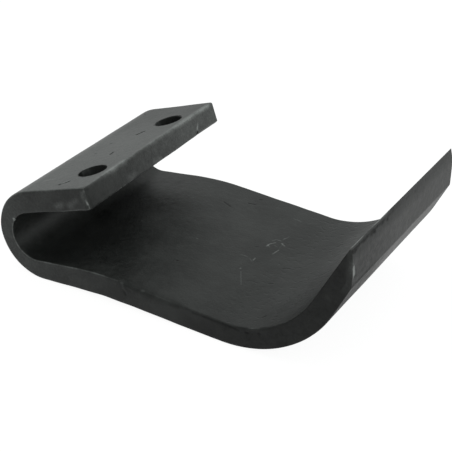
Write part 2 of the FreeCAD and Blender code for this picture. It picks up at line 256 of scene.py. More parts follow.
@dataclass
class SideView:
    """Side view of the bent bar, in millimetres from the nose and the ground, and in degrees."""

    leg_thickness: float = 10.0
    leg_flat: float = 32.7
    leg_angle: float = 18.5
    bend_radius: float = 20.8
    nose_wall: float = 6.8
    heel_wall: float = 8.7
    crown_place: float = 54.5
    crown_rise: float = 2.1
    crown_wall: float = 10.4
    crown_under_radius: float = 70.0
    crown_top_radius: float = 115.0
    trough_place: float = 111.0
    scoop_radius: float = 50.5
    leaf_wall: float = 9.5
    blade_angle: float = 63.0
    blade_taper: float = 2.0
    blade_flat: float = 30.0
    bevel_angle: float = 27.5
    edge_angle: float = 45.0
    edge_band: float = 5.0
    foot_round: float = 2.0
    knuckle_round: float = 12.0
    edge_flat: float = 0.25
    outer: Route = field(init=False)
    inner: Route = field(init=False)
    outer_knots: list[float] = field(init=False)
    inner_knots: list[float] = field(init=False)

    def __post_init__(self) -> None:
        """Draw both skins and pair their places."""
        leg_way, leg_normal = polar(self.leg_angle), polar(self.leg_angle + 90)
        bend_centre = Vector((self.bend_radius, self.bend_radius))
        leg_start = bend_centre + leg_normal * self.bend_radius
        leg_end = leg_start + leg_way * self.leg_flat
        sine, cosine = leg_way.y, leg_way.x
        wall = (self.leg_thickness - sine * self.nose_wall) / cosine + self.heel_wall
        throat = self.bend_radius - wall / ((1 - sine) / cosine + 1)
        throat_centre = Vector((self.nose_wall + throat, self.heel_wall + throat))
        crown = Vector((self.crown_place, self.crown_rise))
        crown_top = crown + Vector((0, self.crown_wall))
        under_centre = crown - Vector((0, self.crown_under_radius))
        top_centre = crown_top - Vector((0, self.crown_top_radius))
        scoop_centre = Vector((self.trough_place, self.scoop_radius))
        bowl = self.scoop_radius - self.leaf_wall
        back_start = scoop_centre + polar(self.blade_angle + self.blade_taper - 90,
                                          self.scoop_radius)
        face_start = scoop_centre + polar(self.blade_angle - 90, bowl)

        rise = crossing_tangent(bend_centre, self.bend_radius,
                                under_centre, self.crown_under_radius)
        fall = crossing_tangent(scoop_centre, self.scoop_radius,
                                under_centre, self.crown_under_radius, side=-1)
        ramp = crossing_tangent(throat_centre, throat, top_centre, self.crown_top_radius)
        dip = crossing_tangent(scoop_centre, bowl, top_centre, self.crown_top_radius, side=-1)
        tip, foot, foot_centre, bevel_start, knuckle = self._ground_end(face_start)

        self.outer = Route(leg_end)
        self.outer.straight(leg_start)
        self.outer.turn(bend_centre, rise[0])
        self.outer.straight(rise[1])
        self.outer.turn(under_centre, fall[1])
        self.outer.straight(fall[0])
        self.outer.turn(scoop_centre, back_start)
        self.outer.straight(foot)
        self.outer.turn(foot_centre, bevel_start)
        last = tip + self._out() * self.edge_flat
        arc_start, arc_centre, arc_end = fillet(bevel_start, knuckle, last, self.knuckle_round)
        self.outer.straight(arc_start)
        self.outer.turn(arc_centre, arc_end)
        self.outer.straight(last)

        self.inner = Route(leg_end - leg_normal * self.leg_thickness)
        self.inner.straight(throat_centre + leg_normal * throat)
        self.inner.turn(throat_centre, ramp[0])
        self.inner.straight(ramp[1])
        self.inner.turn(top_centre, dip[1])
        self.inner.straight(dip[0])
        self.inner.turn(scoop_centre, face_start)
        self.inner.straight(tip)

        trough = Vector((self.trough_place, 0))
        pairs = {
            Knot.LEG: (leg_start, leg_start - leg_normal * self.leg_thickness),
            Knot.NOSE: (Vector((0, self.bend_radius)), Vector((self.nose_wall, throat_centre.y))),
            Knot.HEEL: (Vector((self.bend_radius, 0)), Vector((throat_centre.x, self.heel_wall))),
            Knot.CROWN: (crown, crown_top),
            Knot.TROUGH: (trough, trough + Vector((0, self.leaf_wall))),
            Knot.BACK: (back_start, face_start),
            Knot.FOOT: (foot, self._on_face(tip, foot)),
            Knot.BEVEL: (bevel_start, self._on_face(tip, bevel_start)),
            Knot.KNUCKLE: (knuckle, self._on_face(tip, knuckle)),
        }
        self.outer_knots = [0.0]
        self.inner_knots = [0.0]
        for knot in sorted(pairs):
            on_outer, on_inner = pairs[knot]
            self.outer_knots.append(self.outer.length_at(on_outer))
            self.inner_knots.append(self.inner.length_at(on_inner))
        self.outer_knots.append(self.outer.lengths[-1])
        self.inner_knots.append(self.inner.lengths[-1])

    def _out(self) -> Vector:
        """Direction from the blade's inner face to its back."""
        return polar(self.blade_angle - 90)

    def _on_face(self, tip: Vector, point: Vector) -> Vector:
        """Foot of a point on the blade's inner face."""
        way = polar(self.blade_angle)
        return tip + way * (point - tip).dot(way)

    def _ground_end(self, face_start: Vector) -> tuple[Vector, ...]:
        """Points of the ground bevels.

        Args:
            face_start: Where the blade's straight inner face starts.

        Returns:
            The tip, the bevel's foot, its arc's centre and end, and the knuckle.
        """
        way, out = polar(self.blade_angle), self._out()
        tip = face_start + way * self.blade_flat

        def place(local: Vector) -> Vector:
            """Point given along the face and square to it, from the tip."""
            return tip + way * local.x - out * local.y

        bowl = self.scoop_radius - self.leaf_wall
        back = Vector((-self.blade_flat, bowl)) + polar(self.blade_taper - 90, self.scoop_radius)
        back_way, bevel_way = polar(self.blade_taper), polar(self.bevel_angle)
        knuckle = polar(self.edge_angle, -self.edge_band)
        gap = knuckle - back
        along = (gap.x * bevel_way.y - gap.y * bevel_way.x) / (
            back_way.x * bevel_way.y - back_way.y * bevel_way.x)
        meeting = back + back_way * along
        turn = math.radians(self.bevel_angle - self.blade_taper) / 2
        reach = self.foot_round * math.tan(turn)
        foot = meeting - back_way * reach
        centre = foot + polar(self.blade_taper + 90, self.foot_round)
        bevel_start = meeting + bevel_way * reach
        return tip, place(foot), place(centre), place(bevel_start), place(knuckle)

    def paired(self, length: float) -> tuple[Vector, Vector]:
        """Points of both skins across the wall.

        Args:
            length: Length along the outer skin, from the leg's free end.

        Returns:
            The point of the outer skin and the one of the inner skin.
        """
        place = min(max(bisect.bisect_left(self.outer_knots, length), 1),
                    len(self.outer_knots) - 1)
        low, high = self.outer_knots[place - 1], self.outer_knots[place]
        share = (length - low) / (high - low)
        within = self.inner_knots[place - 1], self.inner_knots[place]
        return self.outer.at(length), self.inner.at(within[0] + (within[1] - within[0]) * share)


class Rim(Enum):
    """Rims of the bar, each named by the two faces that meet there."""

    END_OUTER = ("end", "outer")
    END_INNER = ("end", "inner")
    END_NEAR = ("end", "near")
    NEAR_OUTER = ("near", "outer")
    NEAR_INNER = ("near", "inner")
    FAR_INNER = ("far", "inner")
    EDGE_INNER = ("edge", "inner")
    FOOT_OUTER = ("foot", "outer")

    def runs_across(self) -> bool:
        """Whether the rim runs across the width."""
        return self.value[0] not in ("near", "far") and self is not Rim.END_NEAR


@dataclass(frozen=True)
class RubAndHighlight:
    """Stretch of a rim rubbed bare and given a painted highlight, in millimetres along it."""

    rim: Rim
    start: float
    end: float
    reach: float
    bare: float


class Wear(Enum):
    """Kinds of mark: depth in millimetres, and how bare or, below 0, how dark each leaves it."""

    SCRATCH = (0.04, 0.5)
    FAINT = (0.02, 0.3)
    SCUFF = (0.02, 0.17)
    CHIP = (0.35, 0.9)
    PIT = (0.1, -0.55)
    # Shallow dent with painted shade: the dark line of a rim in its own shadow.
    DENT_AND_PAINTED_SHADE = (0.14, -0.2)
    GOUGE = (0.4, -1.2)


@dataclass(frozen=True)
class Mark:
    """Mark between two places of the shared frame, in millimetres."""

    kind: Wear
    start: Triple
    end: Triple
    reach: float

    def hits(self, tree: kdtree.KDTree, reach: float) -> list[tuple[int, float]]:
        """Find the places within reach of the mark's line.

        Args:
            tree: Places in the shared frame, in metres.
            reach: Greatest distance from the line, in metres.

        Returns:
            The index of each such place and its distance, in the order of the indices.
        """
        start, end = Vector(self.start) * MM, Vector(self.end) * MM
        found = tree.find_range((start + end) / 2, (end - start).length / 2 + reach)
        near = []
        for place, index, _ in sorted(found, key=lambda hit: hit[1]):
            _, share = geometry.intersect_point_line(place, start, end)
            away = (start.lerp(end, min(max(share, 0.0), 1.0)) - place).length
            if away < reach:
                near.append((index, away))
        return near


@dataclass
class ServiceWearAndPaintedLight:
    """What work has left on the knife: uneven faces, bare rims, scratches, chips and pits; and
    the painted highlights, light and shade on it.

    Depths, lengths and places are in millimetres. A thin coat and painted light count
    above 0, up to bare steel at 1, and a dark coat and painted shade below 0.
    """

    broad_depth: float = 0.09
    broad_scale: float = 0.05
    fine_depth: float = 0.02
    fine_scale: float = 0.25
    side_depth: float = 0.05
    side_scale: float = 0.22
    noise_middle: float = 0.5
    rub_and_highlight_spread: float = 2.0
    rub_and_highlight_fade: float = 4.0
    rub_and_highlight_patches: float = 0.12
    rub_and_highlight_patch_seed: float = 7.0
    rub_and_highlight_patch_level: float = 0.9
    rub_and_highlight_patch_least: float = 0.2
    rub_and_highlight_patch_most: float = 1.3
    on_face: float = 0.1
    # Painted light on the near side from the leg to the crown, and painted shade past the crown
    # towards the blade.
    painted_light_flank: float = 0.21
    painted_light_flank_full: Fade = Fade(25.0, 45.0)
    painted_light_flank_out: Fade = Fade(75.0, 150.0)
    painted_shade_flank: float = 0.42
    painted_shade_flank_in: Fade = Fade(125.0, 200.0)
    unshaded_strip_in: Fade = Fade(248.0, 252.0)
    unshaded_strip_width: Fade = Fade(2.0, 3.0)
    thin_end: float = 0.3
    thin_end_in: Fade = Fade(-25.0, 90.0)
    thin_top: float = 0.34
    thin_top_far: float = 0.2
    top_far: Fade = Fade(50.0, 100.0)
    top_out: Fade = Fade(45.0, 75.0)
    # Painted light on the strip next to the cutting edge, so that it shows as bright as the
    # bevel.
    painted_light_edge: float = 0.11
    painted_light_edge_out: Fade = Fade(3.0, 8.0)
    dark_edge: float = 0.38
    dark_edge_width: float = 2.2
    dark_edge_blur: float = 0.5
    dark_edge_sway: float = 0.5
    dark_edge_sway_scale: float = 0.2
    # Painted shade over the near part of the blade's back and of its bevel.
    painted_shade_back: float = 0.35
    painted_shade_bevel: float = 0.22
    bevel_length: float = 15.5
    back_in: Fade = Fade(215.0, 235.0)
    back_far: Fade = Fade(15.0, 60.0)
    # Painted shade on the inner face beyond the leg's end, towards the far side, where the leg
    # shades it.
    painted_shade_bed: float = 0.36
    bed_in: Fade = Fade(70.0, 80.0)
    bed_out: Fade = Fade(110.0, 136.0)
    bed_near: Fade = Fade(42.0, 64.0)
    bed_far: Fade = Fade(68.0, 90.0)
    fine_grid: float = 0.6
    margin: float = 0.7
    # Rims rubbed bare; the same stretches paint the highlights that the rounded rims catch.
    rubs_and_highlights: tuple[RubAndHighlight, ...] = (
        RubAndHighlight(Rim.END_OUTER, -5, 105, 0.8, 0.22), RubAndHighlight(Rim.END_OUTER, 8, 32, 1.4, 0.42),
        RubAndHighlight(Rim.END_OUTER, 46, 99, 1.2, 0.36), RubAndHighlight(Rim.END_INNER, -5, 105, 0.6, 0.2),
        RubAndHighlight(Rim.END_NEAR, -5, 15, 0.5, 0.35), RubAndHighlight(Rim.NEAR_INNER, -3, 19, 0.5, 0.28),
        RubAndHighlight(Rim.NEAR_INNER, 50, 133, 0.45, 0.27), RubAndHighlight(Rim.NEAR_INNER, 137, 159, 0.9, 0.13),
        RubAndHighlight(Rim.NEAR_INNER, 163, 190, 0.4, 0.2), RubAndHighlight(Rim.NEAR_INNER, 193, 204, 0.7, 0.35),
        RubAndHighlight(Rim.NEAR_OUTER, 2, 50, 0.5, 0.12), RubAndHighlight(Rim.NEAR_OUTER, 254, 267, 2.2, 0.2),
        RubAndHighlight(Rim.EDGE_INNER, -2, 36, 0.8, 0.6), RubAndHighlight(Rim.FOOT_OUTER, 14, 88, 1.4, 0.12),
        RubAndHighlight(Rim.FAR_INNER, 110, 240, 0.6, 0.12),
    )
    marks: tuple[Mark, ...] = (
        # The leaf's inner face.
        Mark(Wear.SCRATCH, (15.8, 10.3, 10.2), (16.2, 13.2, 10.2), 0.6),
        Mark(Wear.SCRATCH, (16.6, 13.4, 10.2), (17.6, 15.3, 10.1), 0.5),
        Mark(Wear.SCRATCH, (20.1, 16.1, 10.0), (22.1, 15.1, 9.8), 0.6),
        Mark(Wear.FAINT, (19.3, 19.5, 10.0), (20.2, 23.2, 10.0), 0.5),
        Mark(Wear.SCRATCH, (21.0, 6.2, 9.9), (21.6, 10.6, 9.9), 0.55),
        Mark(Wear.SCRATCH, (16.5, -3.1, 10.2), (16.4, -1.2, 10.2), 0.55),
        Mark(Wear.SCRATCH, (15.2, -12.1, 10.2), (15.2, -11.6, 10.2), 0.6),
        Mark(Wear.FAINT, (16.6, -14.0, 10.2), (21.4, -22.2, 9.9), 0.5),
        Mark(Wear.FAINT, (9.8, -2.2, 10.6), (13.2, -2.1, 10.4), 0.5),
        Mark(Wear.FAINT, (15.8, 15.7, 10.1), (16.8, 18.1, 10.1), 0.55),
        Mark(Wear.SCRATCH, (17.5, 17.7, 10.1), (18.9, 17.9, 10.1), 0.45),
        Mark(Wear.FAINT, (21.3, 12.0, 10.1), (20.6, 16.5, 10.1), 0.5),
        Mark(Wear.FAINT, (15.0, 12.1, 10.1), (17.2, 10.4, 10.1), 0.5),
        Mark(Wear.FAINT, (18.9, 19.8, 10.1), (19.5, 21.0, 10.1), 0.5),
        Mark(Wear.FAINT, (14.5, -2.7, 10.1), (16.4, -4.2, 10.1), 0.5),
        Mark(Wear.FAINT, (12.8, -7.3, 10.1), (14.1, -8.9, 10.1), 0.5),
        Mark(Wear.FAINT, (18.4, 12.8, 10.1), (19.6, 12.5, 10.1), 0.5),
        Mark(Wear.FAINT, (14.7, 38.3, 10.2), (18.9, 37.9, 10.1), 0.6),
        Mark(Wear.FAINT, (-12.1, -2.4, 11.8), (-11.6, -2.4, 11.8), 0.7),
        Mark(Wear.SCRATCH, (-41.5, -1.9, 11.6), (-41.0, -1.5, 11.6), 0.6),
        Mark(Wear.PIT, (-42.0, -3.3, 11.5), (-42.0, -2.9, 11.5), 0.6),
        Mark(Wear.PIT, (41.5, -41.2, 11.3), (42.4, -39.5, 11.6), 0.6),
        Mark(Wear.PIT, (30.6, -15.2, 9.5), (32.1, -14.4, 9.6), 0.45),
        Mark(Wear.PIT, (30.0, -1.6, 9.5), (32.8, -0.2, 9.7), 0.4),
        Mark(Wear.PIT, (34.2, 1.0, 9.9), (36.9, 2.2, 10.3), 0.4),
        Mark(Wear.PIT, (12.3, 6.7, 10.4), (13.3, 7.3, 10.4), 0.45),
        Mark(Wear.PIT, (-18.3, 32.0, 12.2), (-14.0, 30.2, 11.9), 0.6),
        Mark(Wear.PIT, (-8.7, 37.7, 11.6), (-5.4, 38.5, 11.4), 0.5),
        Mark(Wear.PIT, (-6.2, 43.7, 11.5), (-4.9, 44.3, 11.4), 0.5),
        Mark(Wear.PIT, (43.5, 27.3, 12.1), (43.9, 27.7, 12.2), 0.6),
        Mark(Wear.PIT, (-9.7, -22.7, 11.7), (-9.3, -22.5, 11.7), 0.8),
        Mark(Wear.PIT, (-43.7, -29.7, 11.3), (-43.3, -29.5, 11.3), 0.6),
        # The leg.
        Mark(Wear.GOUGE, (-53.0, -44.4, 45.4), (-50.3, -41.0, 46.2), 0.75),
        Mark(Wear.SCRATCH, (-52.6, -42.9, 45.5), (-50.9, -40.2, 46.1), 0.6),
        Mark(Wear.GOUGE, (-52.7, 11.9, 45.5), (-51.1, 16.0, 46.0), 0.45),
        Mark(Wear.GOUGE, (-50.5, -11.4, 46.2), (-50.5, -9.1, 46.2), 0.4),
        Mark(Wear.PIT, (-68.5, 42.5, 40.1), (-67.4, 41.2, 40.5), 0.5),
        Mark(Wear.PIT, (-60.2, -9.1, 43.0), (-59.8, -8.7, 43.1), 0.6),
        Mark(Wear.PIT, (-60.4, 2.7, 42.9), (-60.0, 3.1, 43.0), 0.6),
        Mark(Wear.FAINT, (-65.5, -38.6, 41.2), (-60.8, -37.0, 42.7), 0.5),
        Mark(Wear.CHIP, (-36.9, -49.6, 49.6), (-36.6, -49.5, 49.0), 0.75),
        Mark(Wear.CHIP, (-35.7, -49.8, 45.4), (-34.9, -49.6, 43.6), 0.65),
        Mark(Wear.SCUFF, (-37.3, -50.0, 48.2), (-36.4, -50.0, 45.0), 1.8),
        Mark(Wear.PIT, (-35.6, -49.0, 49.2), (-35.0, -48.8, 46.6), 0.7),
        Mark(Wear.CHIP, (-33.8, -28.9, 41.5), (-33.6, -27.6, 41.8), 0.6),
        Mark(Wear.SCRATCH, (-33.8, -25.6, 41.5), (-33.6, -24.9, 41.8), 0.6),
        Mark(Wear.SCRATCH, (-33.8, -3.2, 41.6), (-33.7, -1.6, 41.6), 0.6),
        Mark(Wear.SCUFF, (-34.4, -21.0, 43.4), (-34.2, -17.6, 43.0), 3.0),
        Mark(Wear.SCUFF, (-34.2, -1.5, 42.8), (-34.0, 2.0, 42.2), 3.0),
        Mark(Wear.FAINT, (-36.9, 38.8, 50.5), (-34.0, 33.6, 44.2), 0.6),
        Mark(Wear.SCRATCH, (-35.2, 35.4, 46.4), (-34.2, 34.0, 44.4), 0.4),
        Mark(Wear.GOUGE, (-33.9, 33.3, 43.1), (-33.6, 32.6, 42.0), 0.75),
        # The near side.
        Mark(Wear.CHIP, (-73.9, -49.9, 25.6), (-73.6, -49.5, 24.7), 0.9),
        Mark(Wear.SCUFF, (-50.6, -50.0, 38.3), (-48.0, -50.0, 40.0), 2.6),
        Mark(Wear.SCUFF, (-43.9, -50.0, 40.7), (-40.7, -50.0, 43.5), 2.4),
        Mark(Wear.SCUFF, (-19.4, -49.5, 11.5), (-18.2, -50.0, 9.0), 1.3),
        Mark(Wear.PIT, (-18.2, -50.0, 8.4), (-17.2, -50.0, 6.8), 1.1),
        # Shallow dents along the near side's rim, darkened with painted shade.
        Mark(Wear.DENT_AND_PAINTED_SHADE, (-16.8, -49.8, 9.9), (-14.6, -49.8, 9.4), 0.9),
        Mark(Wear.DENT_AND_PAINTED_SHADE, (15.0, -49.9, 9.3), (28.6, -49.8, 9.1), 0.75),
        Mark(Wear.DENT_AND_PAINTED_SHADE, (28.6, -49.8, 9.1), (36.1, -49.9, 8.5), 0.75),
        Mark(Wear.SCUFF, (-9.7, -49.3, 11.0), (-9.2, -49.2, 11.0), 1.2),
        # More shallow dents darkened with painted shade.
        Mark(Wear.DENT_AND_PAINTED_SHADE, (3.8, -49.9, 9.7), (8.0, -49.9, 9.6), 1.1),
        Mark(Wear.DENT_AND_PAINTED_SHADE, (39.2, -50.0, 8.6), (39.9, -50.0, 8.7), 0.9),
        Mark(Wear.DENT_AND_PAINTED_SHADE, (44.9, -50.0, 10.1), (45.5, -50.0, 10.3), 0.9),
        Mark(Wear.SCUFF, (72.2, -50.0, 36.3), (72.8, -50.0, 36.1), 1.4),
        # The ground blade.
        Mark(Wear.CHIP, (81.5, -48.6, 51.2), (81.6, -47.9, 48.0), 1.5),
        Mark(Wear.SCRATCH, (81.6, -48.4, 48.0), (81.3, -48.8, 45.6), 0.6),
        Mark(Wear.SCRATCH, (81.5, -48.4, 51.0), (81.6, -47.6, 48.2), 1.3),
        Mark(Wear.FAINT, (81.2, -49.6, 56.0), (81.5, -49.5, 51.4), 0.7),
        Mark(Wear.SCRATCH, (81.0, -48.6, 44.6), (80.6, -48.0, 43.2), 0.7),
        Mark(Wear.PIT, (80.7, -30.5, 56.8), (80.7, -29.5, 56.8), 0.9),
        Mark(Wear.PIT, (80.6, -19.0, 56.4), (80.6, -18.0, 56.4), 0.9),
        Mark(Wear.PIT, (80.3, 0.0, 56.6), (80.3, 2.0, 56.7), 0.7),
        Mark(Wear.PIT, (80.4, 8.6, 55.9), (80.3, 11.6, 55.7), 0.9),
        Mark(Wear.PIT, (80.2, 17.8, 55.8), (80.2, 19.8, 56.1), 0.8),
        Mark(Wear.PIT, (79.9, 35.2, 56.1), (79.9, 36.6, 56.3), 0.8),
        Mark(Wear.GOUGE, (80.0, 50.0, 47.4), (80.2, 50.0, 45.4), 0.9),
    )

    def refine(self, bar: bmesh.types.BMesh) -> None:
        """Grid the bar three times as finely about each mark.

        Args:
            bar: The bent bar, in the shared frame.
        """
        bar.edges.ensure_lookup_table()
        tree = kdtree.KDTree(len(bar.edges))
        for index, edge in enumerate(bar.edges):
            tree.insert((edge.verts[0].co + edge.verts[1].co) / 2, index)
        tree.balance()
        chosen = set()
        for mark in self.marks:
            hits = mark.hits(tree, (mark.reach + self.margin) * MM)
            chosen.update(index for index, _ in hits)
        fine = [bar.edges[index] for index in sorted(chosen)
                if bar.edges[index].calc_length() > self.fine_grid * MM]
        bmesh.ops.subdivide_edges(bar, edges=fine, cuts=2, use_grid_fill=True)

    def rubbed_and_highlit(self, distances: dict[str, float], flat: Flat) -> float:
        """How bare the rims' wear and their painted highlights leave a point.

        Args:
            distances: Distance of the point from each face, by the face's name.
            flat: Its place on the straight blank.

        Returns:
            0 where the coat is whole, 1 for bare steel, which the painted highlights show too.
        """
        bare = 0.0
        for rub_and_highlight in self.rubs_and_highlights:
            away = math.hypot(*(distances[face] for face in rub_and_highlight.rim.value))
            spread = rub_and_highlight.reach * self.rub_and_highlight_spread
            if away > spread:
                continue
            along = flat.across if rub_and_highlight.rim.runs_across() else flat.length
            if rub_and_highlight.rim is Rim.END_NEAR:
                along = distances["outer"]
            inside = blend(along, rub_and_highlight.start, rub_and_highlight.start + self.rub_and_highlight_fade)
            inside *= 1 - blend(along, rub_and_highlight.end - self.rub_and_highlight_fade, rub_and_highlight.end)
            patch = self.rub_and_highlight_patch_level + noise.noise(Vector((
                along * self.rub_and_highlight_patches, rub_and_highlight.reach * self.rub_and_highlight_patch_seed, rub_and_highlight.start)))
            patch = min(max(patch, self.rub_and_highlight_patch_least), self.rub_and_highlight_patch_most)
            share = 1 - blend(away, 0.0, spread)
            bare = max(bare, rub_and_highlight.bare * inside * share * patch)
        return bare

    def patina_and_painted_light(self, distances: dict[str, float], flat: Flat) -> float:
        """How far a face's coat is rubbed thin, or darkened, over wide areas, and where light and
        shade are painted on it.

        Args:
            distances: Distance of the point from each face, by the face's name.
            flat: Its place on the straight blank.

        Returns:
            Above 0 where it is thin, below 0 where it is dark.
        """
        length, across, _ = flat
        if distances["near"] < self.on_face:
            return self._flank_painted_light_and_shade(length, distances["outer"])
        if distances["end"] < self.on_face:
            return self.thin_end * self.thin_end_in.at(across)
        if distances["outer"] < self.on_face and length < self.top_out.full:
            thin = self.thin_top + (self.thin_top_far - self.thin_top) * self.top_far.at(across)
            return thin * self.top_out.left(length)
        if distances["outer"] < self.on_face:
            return self._back_patina_and_painted_light(length, across, distances["edge"])
        if distances["inner"] < self.on_face:
            # Painted shade: the inner face darker where the leg shades it.
            bed = self.bed_in.at(length) * self.bed_out.left(length)
            return -self.painted_shade_bed * bed * self.bed_near.at(across) * self.bed_far.left(across)
        return 0.0

    def _flank_painted_light_and_shade(self, length: float, from_outer: float) -> float:
        """Painted light and shade of the near side: painted light from the leg to the crown,
        painted shade past it.

        Args:
            length: Length along the outer skin.
            from_outer: Distance from the outer skin, along which a strip is left out of the
                painted shade.

        Returns:
            Above 0 where light is painted, below 0 where shade is painted.
        """
        # Painted shade: the near side darker past the crown, towards the blade, except for a
        # strip along the outer skin.
        unshaded_strip = self.unshaded_strip_in.at(length) * self.unshaded_strip_width.left(from_outer)
        dark = self.painted_shade_flank * self.painted_shade_flank_in.at(length) * (1 - unshaded_strip)
        # Painted light: the near side lighter from the leg to the crown.
        thin = self.painted_light_flank * (1 + self.painted_light_flank_full.at(length)) / 2
        return thin * self.painted_light_flank_out.left(length) - dark

    def _back_patina_and_painted_light(self, length: float, across: float, from_edge: float) -> float:
        """Patina and painted light of the blade's back: a dark band along the edge, painted light
        on the strip next to it, and painted shade over the near part.

        Args:
            length: Length along the outer skin.
            across: Place across the width.
            from_edge: Length left to the edge.

        Returns:
            Above 0 where light is painted, below 0 for the dark band and for painted shade.
        """
        sway = noise.noise(Vector((across * self.dark_edge_sway_scale, 0, 0)))
        width = self.dark_edge_width * (1 + self.dark_edge_sway * sway)
        along_edge = Fade(width - self.dark_edge_blur, width + self.dark_edge_blur)
        dark = self.dark_edge * along_edge.left(from_edge)
        dark *= 1 - self.back_far.at(across) / 2
        # Painted shade: the near part of the back and of the bevel darker.
        near = self.back_in.at(length) * self.back_far.left(across)
        dark += near * (self.painted_shade_bevel if from_edge < self.bevel_length else self.painted_shade_back)
        # Painted light: the strip next to the edge made lighter.
        return self.painted_light_edge * self.painted_light_edge_out.left(from_edge) - dark

    def uneven(self, place: Vector, flank: bool) -> float:
        """How far the hammered and sheared faces lie below the true ones.

        Args:
            place: Place in the shared frame, in millimetres.
            flank: Whether the place is on one of the two flat sides.

        Returns:
            The depth, in millimetres.
        """
        broad = self.noise_middle + noise.noise(place * self.broad_scale)
        fine = self.noise_middle + noise.noise(place * self.fine_scale)
        depth = self.broad_depth * broad + self.fine_depth * fine
        if flank:
            side = self.noise_middle + noise.noise(place * self.side_scale)
            depth += self.side_depth * side
        return max(depth, 0.0)

    def mark(self, bar: bmesh.types.BMesh, worn: bmesh.types.BMLayerItem) -> None:
        """Press the marks into the bar and paint them.

        Args:
            bar: The bent bar, in the shared frame.
            worn: Layer that takes how bare each point is.
        """
        bar.verts.ensure_lookup_table()
        bar.normal_update()
        normals = [point.normal.copy() for point in bar.verts]
        tree = kdtree.KDTree(len(bar.verts))
        for index, point in enumerate(bar.verts):
            tree.insert(point.co, index)
        tree.balance()
        for mark in self.marks:
            reach = mark.reach * MM
            depth, bare = mark.kind.value
            for index, away in mark.hits(tree, reach):
                near = 1 - blend(away, 0.0, reach)
                point = bar.verts[index]
                point.co -= normals[index] * depth * MM * near
                point[worn] = max(-1.0, min(1.0, point[worn] + bare * near))


